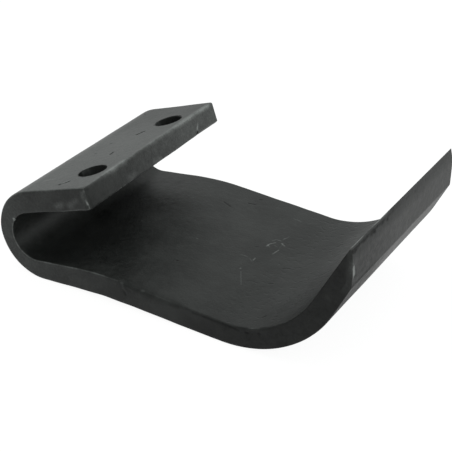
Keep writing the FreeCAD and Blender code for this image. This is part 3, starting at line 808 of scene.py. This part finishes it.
@dataclass
class ForgedKnife:
    """The whole knife: one bar, bent, forged, ground, worn and drilled."""

    node: str = "knife"
    name: str = "forged_knife"
    width: float = 100.0
    spacing: float = 1.05
    fine_spacing: float = 0.55
    end_places: tuple[float, ...] = (0.0, 0.35, 0.7, 1.05, 1.5, 2.1)
    side_places: tuple[float, ...] = (0.0, 0.3, 0.6, 0.95, 1.4, 2.0, 2.8)
    skin_shares: tuple[float, ...] = (0.0, 0.03, 0.06, 0.1, 0.15, 0.23, 0.35, 0.5)
    rim: float = 0.9
    rim_wall_share: float = 0.42
    rim_sway: float = 0.4
    rim_sway_along: float = 0.09
    rim_sway_across: float = 0.07
    near_seed: float = 3.0
    inner_seed: float = 5.0
    end_rim: float = 0.8
    end_rim_out: Fade = Fade(2.0, 6.0)
    worn_rim: float = 2.7
    worn_rim_in: Fade = Fade(131.0, 134.0)
    worn_rim_out: Fade = Fade(158.0, 166.0)
    corner_rim: float = 0.9
    corner_rim_out: Fade = Fade(3.0, 6.0)
    ground_rim: float = 0.3
    ground_rim_start: float = 3.0
    clipped: float = 1.9
    clipped_inner: float = 1.3
    end_facet: float = 88.0
    end_facet_slant: float = 0.55
    end_facet_clip: float = 1.0
    end_facet_in: Fade = Fade(0.0, 1.0)
    end_facet_proud: float = 0.055
    end_facet_proud_out: Fade = Fade(0.0, 4.0)
    edge_skew: float = 1.15
    far_lean: float = 0.8
    far_lift: float = 0.4
    lapped_start: float = 0.4
    lapped_skin: Fade = Fade(0.1, 0.5)
    lapped_evenness: float = 0.7
    flank_normal: float = 0.8
    hole_lip: float = 0.15
    hole_flare: float = 4.0
    hole_steps: int = 96
    least_edge: float = 0.002
    sharp_angle: float = 32.0
    side: SideView = field(default_factory=SideView)
    wear: ServiceWearAndPaintedLight = field(default_factory=ServiceWearAndPaintedLight)
    limits: tuple[Vector, Vector] = field(init=False)

    def __post_init__(self) -> None:
        """Find the box that the frame gives the knife."""
        self.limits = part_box(self.node)

    def stations(self) -> list[float]:
        """List where the blank is cut across.

        Returns:
            Lengths along the outer skin, close together at the ends.
        """
        knots = self.side.outer_knots
        places = list(self.end_places)
        for index, (low, high) in enumerate(zip(knots[:-1], knots[1:])):
            low = max(low, places[-1])
            spacing = self.fine_spacing if index >= Knot.FOOT else self.spacing
            count = max(math.ceil((high - low) / spacing), 2)
            places += [low + (high - low) * step / count for step in range(1, count + 1)]
        return places

    def rows(self) -> list[float]:
        """List where the blank is cut along.

        Returns:
            Places across the width, from the near side, close together at the rims.
        """
        rim = list(self.side_places)
        inside = self.width - 2 * rim[-1]
        count = math.ceil(inside / self.spacing)
        flat = [rim[-1] + inside * step / count for step in range(1, count)]
        return rim + flat + [self.width - place for place in reversed(rim)]

    def layers(self) -> list[float]:
        """Shares of the wall, close together at both skins."""
        half = list(self.skin_shares)
        return half + [1 - share for share in reversed(half[:-1])]

    def blank(self, counts: tuple[int, ...]) -> bmesh.types.BMesh:
        """Unit block, gridded along each axis.

        Args:
            counts: Number of places along each axis.

        Returns:
            The block, with its low corner at the origin.
        """
        block = bmesh.new()
        bmesh.ops.create_cube(block, size=1.0)
        bmesh.ops.translate(block, verts=block.verts, vec=Vector((0.5, 0.5, 0.5)))
        for axis, count in enumerate(counts):
            along = [edge for edge in block.edges
                     if round(abs((edge.verts[0].co - edge.verts[1].co)[axis])) == 1]
            bmesh.ops.subdivide_edges(block, edges=along, cuts=count - 2, use_grid_fill=True)
        return block

    def rim_radius(self, flat: Flat) -> float:
        """Rounding of the nearest rim, worn larger in places.

        Args:
            flat: Place on the straight blank.

        Returns:
            The radius, in millimetres.
        """
        length, across, share = flat
        knots = self.side.outer_knots
        near, inner = across < self.width / 2, share > 0.5
        radius = self.rim
        if not inner:
            radius += (self.end_rim - self.rim) * self.end_rim_out.left(length)
        if inner and near:
            worn = self.worn_rim_in.at(length) * self.worn_rim_out.left(length)
            radius += (self.worn_rim - self.rim) * worn
        sway = noise.noise(Vector((length * self.rim_sway_along,
                                   near * self.near_seed + across * self.rim_sway_across,
                                   inner * self.inner_seed)))
        radius *= 1 + self.rim_sway * sway
        past_corner = self.corner_rim_out.at(length + min(across, self.width - across))
        radius = self.corner_rim + (radius - self.corner_rim) * past_corner
        ground = blend(length, knots[Knot.BACK] + self.ground_rim_start, knots[Knot.FOOT])
        return radius + (self.ground_rim - radius) * ground

    def shape_flat(self, flat: Flat) -> Flat:
        """Round the rims of the straight blank at a grid point.

        Args:
            flat: The point's place on the square blank.

        Returns:
            Its place on the rounded one.
        """
        length, across, share = flat
        on_outer, on_inner = self.side.paired(length)
        wall = (on_inner - on_outer).length
        radius = min(self.rim_radius(flat), self.rim_wall_share * wall)
        point = Vector((length, across, share * wall))
        core = Vector((max(length, radius),
                       min(max(across, radius), self.width - radius),
                       min(max(share * wall, radius), wall - radius)))
        clipped = self.clipped + (self.clipped_inner - self.clipped) * share
        spare = clipped + radius * math.sqrt(2) - core.x - core.y
        if spare > 0:
            core.x += spare / 2
            core.y += spare / 2
        arm = point - core
        if arm.length > 0:
            point = core + arm.normalized() * radius
        self.cut_end_facet(point, wall)
        return Flat(point.x, point.y, point.z / wall)

    def cut_end_facet(self, point: Vector, wall: float) -> None:
        """Clip the lower rim of the far part of the leg's end.

        Args:
            point: Length, place across and depth of a point; moved in place.
            wall: Thickness of the bar there.
        """
        beyond = self.beyond_facet(point.y, point.z)
        if beyond <= 0 or point.x > 2 * self.end_facet_clip:
            return
        spare = self.end_facet_clip * self.end_facet_in.at(beyond) - point.x - (wall - point.z)
        if spare > 0:
            point.x += spare / 2
            point.z -= spare / 2

    def beyond_facet(self, across: float, depth: float) -> float:
        """How far a point of the leg's end lies beyond the slanting line of its far facet."""
        return max(across - self.end_facet + self.end_facet_slant * depth, 0.0)

    def bend(self, flat: Flat) -> Vector:
        """Place of a point of the straight blank on the bent bar.

        Args:
            flat: The point's place on the blank.

        Returns:
            The point in the shared frame, in metres.
        """
        length, across, share = flat
        on_outer, on_inner = self.side.paired(length)
        place = on_outer.lerp(on_inner, share)
        knots = self.side.outer_knots
        fall = math.tan(math.radians(self.edge_skew)) * (self.width / 2 - across)
        fall *= blend(length, knots[Knot.BACK], knots[Knot.FOOT])
        place += polar(self.side.blade_angle) * fall
        far = across / self.width
        place.x += self.far_lean * far * blend(length, knots[Knot.TROUGH], knots[Knot.BACK])
        place.y += self.far_lift * far * (1 - blend(length, 0.0, knots[Knot.LEG]))
        proud = self.end_facet_proud * self.beyond_facet(across, share * self.side.leg_thickness)
        place += polar(self.side.leg_angle) * proud * self.end_facet_proud_out.left(length)
        low = self.limits[0]
        return Vector((low.x + place.x * MM, low.y + across * MM, low.z + place.y * MM))

    def build(self) -> bpy.types.Object:
        """Make the knife.

        Returns:
            Its object, with its finish still to come.
        """
        grid = self.stations(), self.rows(), self.layers()
        bar = self.blank(tuple(len(places) for places in grid))
        flat_layers = [bar.verts.layers.float.new(name) for name in Flat._fields]
        for point in bar.verts:
            flat = Flat(*(places[round(share * (len(places) - 1))]
                          for places, share in zip(grid, point.co)))
            point.co = self.bend(self.shape_flat(flat))
            for layer, value in zip(flat_layers, flat):
                point[layer] = value
        bmesh.ops.recalc_face_normals(bar, faces=bar.faces)
        self.age(bar)
        for name in Flat._fields:
            bar.verts.layers.float.remove(bar.verts.layers.float[name])
        piece = as_object(self.name, bar)
        self.drill(piece)
        piece.data.shade_smooth()
        piece.data.set_sharp_from_angle(angle=math.radians(self.sharp_angle))
        return piece

    def distances(self, flat: Flat) -> dict[str, float]:
        """Measure how far a place is from each face of the blank.

        Args:
            flat: Place on the straight blank.

        Returns:
            The distance from each face by its name, and the one along it from the foot.
        """
        length, across, share = flat
        on_outer, on_inner = self.side.paired(length)
        wall = (on_inner - on_outer).length
        knots = self.side.outer_knots
        return {"end": length, "edge": knots[Knot.TIP] - length, "near": across,
                "far": self.width - across, "outer": share * wall,
                "inner": (1 - share) * wall, "foot": abs(length - knots[Knot.FOOT])}

    def age(self, bar: bmesh.types.BMesh) -> None:
        """Make the faces uneven, rub, mark and paint them, and paint highlights, light and shade
        on them.

        Args:
            bar: The bent bar, each point with its flat place in float layers.
        """
        # The worn layer takes wear, painted highlights and painted light above 0, and stains and
        # painted shade below 0.
        worn = bar.verts.layers.float.new("worn")
        ground = bar.verts.layers.float.new("ground")
        flat_layers = [bar.verts.layers.float[name] for name in Flat._fields]
        self.wear.refine(bar)
        bar.normal_update()
        knots = self.side.outer_knots
        for point in bar.verts:
            flat = Flat(*(point[layer] for layer in flat_layers))
            distances = self.distances(flat)
            flank = abs(point.normal.y) > self.flank_normal
            # Rubs with painted highlights, then patina with painted light and shade.
            point[worn] = self.wear.rubbed_and_highlit(distances, flat)
            point[worn] += self.wear.patina_and_painted_light(distances, flat)
            lapped = blend(flat.length, knots[Knot.FOOT] - self.lapped_start, knots[Knot.BEVEL])
            point[ground] = lapped * self.lapped_skin.left(distances["outer"])
            sunk = self.wear.uneven(point.co / MM, flank) * (1 - self.lapped_evenness * lapped)
            point.co -= point.normal * sunk * MM
        self.wear.mark(bar, worn)
        for point in bar.verts:
            for axis, (low, high) in enumerate(zip(*self.limits)):
                point.co[axis] = min(max(point.co[axis], low), high)
        bmesh.ops.dissolve_degenerate(bar, edges=bar.edges, dist=self.least_edge * MM)

    def cutter(self, mount: dict) -> bpy.types.Object:
        """Drill for one bolt hole, flared at both faces of the leg.

        Args:
            mount: The hole's mount in the record.

        Returns:
            The drill's object.
        """
        radius = mount["dims"]["r_mm"] * MM
        half = mount["dims"]["length_mm"] * MM / 2
        lip = self.hole_lip * MM
        flare = self.hole_flare * lip
        outline = [(radius + flare, half + flare), (radius + lip, half), (radius, half - lip)]
        outline += [(out, -up) for out, up in reversed(outline)]
        drill = bmesh.new()
        points = [drill.verts.new((out, 0, up)) for out, up in outline]
        edges = [drill.edges.new(pair) for pair in zip(points[:-1], points[1:])]
        bmesh.ops.spin(drill, geom=points + edges, cent=(0, 0, 0), axis=(0, 0, 1),
                       angle=math.tau, steps=self.hole_steps, use_merge=True)
        bmesh.ops.holes_fill(drill, edges=drill.edges, sides=0)
        bmesh.ops.recalc_face_normals(drill, faces=drill.faces)
        axis = Vector(mount["axis"]).normalized()
        turn = Vector((0, 0, 1)).rotation_difference(axis).to_matrix().to_4x4()
        drill.transform(Matrix.Translation(Vector(mount["pos_m"])) @ turn)
        return as_object("drill", drill)

    def drill(self, piece: bpy.types.Object) -> None:
        """Cut the bolt holes through the mounting leg.

        Args:
            piece: The knife's object, which gets the drilled mesh.
        """
        for mount in frame["record"]["mounts"]:
            if mount["kind"] != "bore":
                continue
            tool = self.cutter(mount)
            cut = piece.modifiers.new("hole", "BOOLEAN")
            cut.operation = "DIFFERENCE"
            cut.solver = "EXACT"
            cut.object = tool
            bpy.context.view_layer.update()
            seen = piece.evaluated_get(bpy.context.evaluated_depsgraph_get())
            drilled = bpy.data.meshes.new_from_object(seen)
            piece.modifiers.clear()
            piece.data = drilled
            drilled.name = self.name
            bpy.data.objects.remove(tool)


@dataclass(frozen=True)
class Pattern:
    """Noise of a finish: cells for each metre, octaves, and how rough these are."""

    scale: float
    detail: float = 3.0
    roughness: float = 0.55


class Wiring:
    """Node tree of one material or world, with short calls to add to it."""

    # Sockets of a Mix node that take and give colours.
    FIRST_COLOUR: ClassVar[int] = 6
    SECOND_COLOUR: ClassVar[int] = 7
    MIXED_COLOUR: ClassVar[int] = 2

    def __init__(self, tree: bpy.types.NodeTree) -> None:
        """Start an empty tree."""
        self.tree = tree
        tree.nodes.clear()

    def add(self, kind: str, values: dict | None = None, **settings: object) -> bpy.types.Node:
        """Add a node.

        Args:
            kind: The node's type name.
            values: Inputs by name or number: a node's output to link, or a value to set.
            settings: Properties of the node.

        Returns:
            The new node.
        """
        node = self.tree.nodes.new(kind)
        for name, value in settings.items():
            setattr(node, name, value)
        for name, value in (values or {}).items():
            if isinstance(value, Socket):
                self.tree.links.new(value, node.inputs[name])
            else:
                node.inputs[name].default_value = value
        return node

    def math(self, operation: str, first: object, second: object) -> Socket:
        """Output of a Math node on two values or outputs."""
        return self.add("ShaderNodeMath", {0: first, 1: second}, operation=operation).outputs[0]

    def times(self, first: object, second: object) -> Socket:
        """Product of two values or outputs."""
        return self.math("MULTIPLY", first, second)

    def plus(self, first: object, *others: object) -> Socket:
        """Add up values or outputs.

        Args:
            first: The first of them.
            others: The others, in the order in which they are added.

        Returns:
            Output of the sum.
        """
        for other in others:
            first = self.math("ADD", first, other)
        return first

    def noise(self, place: Socket, pattern: Pattern) -> Socket:
        """Add a noise pattern.

        Args:
            place: Output with the place on the piece.
            pattern: Size and character of the noise.

        Returns:
            Output of the noise, about 0.5 on average.
        """
        node = self.add("ShaderNodeTexNoise", {
            "Vector": place, "Scale": pattern.scale, "Detail": pattern.detail,
            "Roughness": pattern.roughness})
        return node.outputs["Fac"]

    def ramp(self, value: Socket, fade: Fade) -> Socket:
        """Add a smooth step.

        Args:
            value: Output to step.
            fade: Range over which the step rises.

        Returns:
            Output from 0 before the range to 1 past it.
        """
        node = self.add("ShaderNodeMapRange", {
            "Value": value, "From Min": fade.start, "From Max": fade.full},
            interpolation_type="SMOOTHSTEP")
        return node.outputs["Result"]

    def mix(self, share: object, first: object, second: object) -> Socket:
        """Mix two colours.

        Args:
            share: Share of the second colour.
            first: Colour or output that shows at 0.
            second: Colour or output that shows at 1.

        Returns:
            Output of the mixed colour.
        """
        node = self.add("ShaderNodeMix", {
            "Factor": share, self.FIRST_COLOUR: first, self.SECOND_COLOUR: second},
            data_type="RGBA")
        return node.outputs[self.MIXED_COLOUR]


@dataclass(frozen=True)
class BlackSteel:
    """Forged steel under a thin satin black coat, worn through at rims and marks, with painted
    highlights, light and shade.
    """

    name: str = "black_steel"
    dark: Colour = (0.0070, 0.0076, 0.0072, 1.0)
    pale: Colour = (0.0160, 0.0170, 0.0162, 1.0)
    bare: Colour = (0.165, 0.172, 0.168, 1.0)
    # Colour of the stains, and of the painted shade too.
    stain_and_shade: Colour = (0.0030, 0.0030, 0.0030, 1.0)
    lapped: Colour = (0.012, 0.013, 0.0125, 1.0)
    patches: Pattern = Pattern(70.0)
    mottle: Pattern = Pattern(330.0, 4.0, 0.6)
    grain: Pattern = Pattern(1100.0, 3.0, 0.6)
    ripple: Pattern = Pattern(420.0, 2.0, 0.5)
    grind: Pattern = Pattern(700.0)
    grind_angle: float = 27.5
    grind_stretch: float = 0.1
    patch_share: float = 0.5
    mottle_share: float = 0.3
    grain_share: float = 0.2
    pale_in: Fade = Fade(0.38, 0.64)
    lapped_in: Fade = Fade(0.2, 0.7)
    speck_in: Fade = Fade(0.69, 0.8)
    speck_share: float = 0.2
    bare_in: Fade = Fade(0.0, 1.0)
    stain_and_shade_in: Fade = Fade(0.05, 0.8)
    specular: float = 0.17
    roughness: float = 0.45
    roughness_sway: float = 0.1
    stain_and_shade_roughness: float = 0.4
    bare_metal: float = 0.5
    scoop_in: Fade = Fade(0.012, 0.035)
    upward_in: Fade = Fade(0.5, 0.8)
    ripple_in: Fade = Fade(0.52, 0.72)
    grain_bump: float = 0.4
    ripple_bump: float = 0.75
    grind_bump: float = 0.15
    bump_depth: float = 0.00009

    def material(self) -> bpy.types.Material:
        """Make the material.

        Returns:
            A material on Object coordinates and the attributes of the wear and of the painted
            highlights, light and shade.
        """
        material = bpy.data.materials.new(self.name)
        material.use_nodes = True
        wiring = Wiring(material.node_tree)
        place = wiring.add("ShaderNodeTexCoord").outputs["Object"]
        # The worn attribute brings wear, painted highlights and painted light above 0, and stains
        # and painted shade below 0.
        worn = wiring.add("ShaderNodeAttribute", attribute_name="worn").outputs["Fac"]
        ground = wiring.add("ShaderNodeAttribute", attribute_name="ground").outputs["Fac"]
        mottle = wiring.noise(place, self.mottle)
        grain = wiring.noise(place, self.grain)
        stretched = wiring.add("ShaderNodeMapping", {
            "Vector": place, "Rotation": (0.0, math.radians(self.grind_angle), 0.0),
            "Scale": (self.grind_stretch, 1.0, 1.0)}).outputs[0]
        grind = wiring.noise(stretched, self.grind)

        cloud = wiring.plus(wiring.times(mottle, self.mottle_share),
                            wiring.times(grain, self.grain_share),
                            wiring.times(wiring.noise(place, self.patches), self.patch_share))
        coat = wiring.mix(wiring.ramp(cloud, self.pale_in), self.dark, self.pale)
        coat = wiring.mix(wiring.times(ground, wiring.ramp(grind, self.lapped_in)),
                          coat, self.lapped)
        ragged = wiring.times(worn, wiring.plus(mottle, grain))
        specks = wiring.times(wiring.ramp(grain, self.speck_in), self.speck_share)
        thin = wiring.ramp(wiring.math("MAXIMUM", ragged, specks), self.bare_in)
        # Stains and painted shade darken the coat.
        stain_and_shade_share = wiring.ramp(wiring.times(ragged, -1.0), self.stain_and_shade_in)
        rough = wiring.plus(wiring.times(mottle, 2 * self.roughness_sway),
                            self.roughness - self.roughness_sway,
                            wiring.times(stain_and_shade_share, self.stain_and_shade_roughness))
        height = wiring.plus(wiring.times(grain, self.grain_bump), mottle,
                             wiring.times(self.ripples(wiring, place), -self.ripple_bump),
                             wiring.times(wiring.times(grind, ground), self.grind_bump))
        bump = wiring.add("ShaderNodeBump", {"Strength": 1.0, "Distance": self.bump_depth,
                                             "Height": height})
        steel = wiring.add("ShaderNodeBsdfPrincipled", {
            "Base Color": wiring.mix(stain_and_shade_share, wiring.mix(thin, coat, self.bare), self.stain_and_shade),
            "Metallic": wiring.times(thin, self.bare_metal), "Roughness": rough,
            "Normal": bump.outputs[0], "Specular IOR Level": self.specular})
        wiring.add("ShaderNodeOutputMaterial", {"Surface": steel.outputs[0]})
        return material

    def ripples(self, wiring: Wiring, place: Socket) -> Socket:
        """Depth of the ripples that the scoop has on its inner face.

        Args:
            wiring: Node tree of the material.
            place: Output with the place on the piece.

        Returns:
            Output from 0, off the ripples, to 1 in them.
        """
        along = wiring.add("ShaderNodeSeparateXYZ", {0: place}).outputs["X"]
        facing = wiring.add("ShaderNodeNewGeometry").outputs["Normal"]
        upward = wiring.add("ShaderNodeSeparateXYZ", {0: facing}).outputs["Z"]
        scoop = wiring.times(wiring.ramp(along, self.scoop_in),
                             wiring.ramp(upward, self.upward_in))
        ripple = wiring.noise(place, self.ripple)
        return wiring.times(scoop, wiring.ramp(ripple, self.ripple_in))


@dataclass(frozen=True)
class WhiteBackdrop:
    """White paint that glows for the rays that see it, and so shows little but the shadow."""

    name: str = "white_floor"
    paint: Colour = (0.8, 0.8, 0.8, 1.0)
    glow: float = 1.06
    glow_share: float = 0.88

    def material(self) -> bpy.types.Material:
        """Make the material.

        Returns:
            A plain white that the camera and the reflections see brighter than it is.
        """
        material = bpy.data.materials.new(self.name)
        material.use_nodes = True
        wiring = Wiring(material.node_tree)
        path = wiring.add("ShaderNodeLightPath").outputs
        seen = wiring.math("MAXIMUM", path["Is Camera Ray"], path["Is Glossy Ray"])
        seen = wiring.math("MAXIMUM", seen, path["Is Transmission Ray"])
        paint = wiring.add("ShaderNodeBsdfDiffuse", {"Color": self.paint}).outputs[0]
        glow = wiring.add("ShaderNodeEmission", {"Strength": self.glow}).outputs[0]
        both = wiring.add("ShaderNodeMixShader", {
            0: wiring.times(seen, self.glow_share), 1: paint, 2: glow}).outputs[0]
        wiring.add("ShaderNodeOutputMaterial", {"Surface": both})
        return material


@dataclass
class Studio:
    """White floor, tent of light and the camera of the picture."""

    image_size: int = 452
    focal_pixels: float = 1190.7
    sensor: float = 36.0
    clip_start: float = 0.01
    camera_place: Triple = (0.219900, -0.387013, 0.273751)
    camera_look: Triple = (-0.42780, 0.75652, -0.49463)
    camera_right: Triple = (0.86502, 0.50140, 0.01923)
    floor_size: float = 8.0
    backdrop: WhiteBackdrop = WhiteBackdrop()
    sky_start: float = -0.3
    sky_level: float = 0.8
    sky_swell: float = 0.8
    bright_side: Triple = (0.663, 0.383, 0.643)
    sky_colour: Colour = (0.965, 1.0, 0.985, 1.0)
    white: Colour = (1.0, 1.0, 1.0, 1.0)

    def camera(self) -> None:
        """Place the camera where the photograph was taken."""
        data = bpy.data.cameras.new("camera")
        data.sensor_width = self.sensor
        data.lens = self.sensor * self.focal_pixels / self.image_size
        data.clip_start = self.clip_start
        eye = bpy.data.objects.new("camera", data)
        look = Vector(self.camera_look).normalized()
        right = Vector(self.camera_right)
        right = (right - look * right.dot(look)).normalized()
        up = right.cross(look)
        turn = Matrix((right, up, -look)).transposed().to_4x4()
        eye.matrix_world = Matrix.Translation(Vector(self.camera_place)) @ turn
        bpy.context.scene.collection.objects.link(eye)
        bpy.context.scene.camera = eye

    def floor(self) -> None:
        """Lay a white floor that keeps the knife's shadow."""
        plane = bmesh.new()
        bmesh.ops.create_grid(plane, x_segments=1, y_segments=1, size=self.floor_size / 2)
        floor = as_object("floor", plane)
        floor.data.materials.append(self.backdrop.material())

    def world(self) -> None:
        """Pale tent of light, brighter on one side, and white for the camera."""
        world = bpy.data.worlds.new("studio")
        bpy.context.scene.world = world
        world.use_nodes = True
        wiring = Wiring(world.node_tree)
        heading = wiring.add("ShaderNodeTexCoord").outputs["Generated"]
        facing = wiring.add("ShaderNodeVectorMath", {0: heading, 1: self.bright_side},
                            operation="DOT_PRODUCT").outputs["Value"]
        level = wiring.add("ShaderNodeMapRange", {
            "Value": facing, "From Min": self.sky_start, "From Max": 1.0,
            "To Min": self.sky_level, "To Max": self.sky_level + self.sky_swell},
            interpolation_type="SMOOTHSTEP").outputs["Result"]
        seen = wiring.add("ShaderNodeLightPath").outputs["Is Camera Ray"]
        sky = wiring.add("ShaderNodeBackground", {
            "Color": wiring.mix(seen, self.sky_colour, self.white),
            "Strength": wiring.math("MAXIMUM", level, seen)})
        wiring.add("ShaderNodeOutputWorld", {"Surface": sky.outputs[0]})

    def build(self) -> None:
        """Set up the whole studio."""
        self.camera()
        self.floor()
        self.world()
        bpy.context.scene.view_settings.view_transform = "Standard"


def main() -> None:
    """Build the knife and its studio and report the pieces."""
    knife = ForgedKnife()
    piece = knife.build()
    piece.data.materials.append(BlackSteel().material())
    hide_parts(knife.node)
    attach(piece, "root")
    triangles = sum(len(face.vertices) - 2 for face in piece.data.polygons)
    log.info("%s: %d triangles", piece.name, triangles)
    Studio().build()


if __name__ == "__main__":
    main()
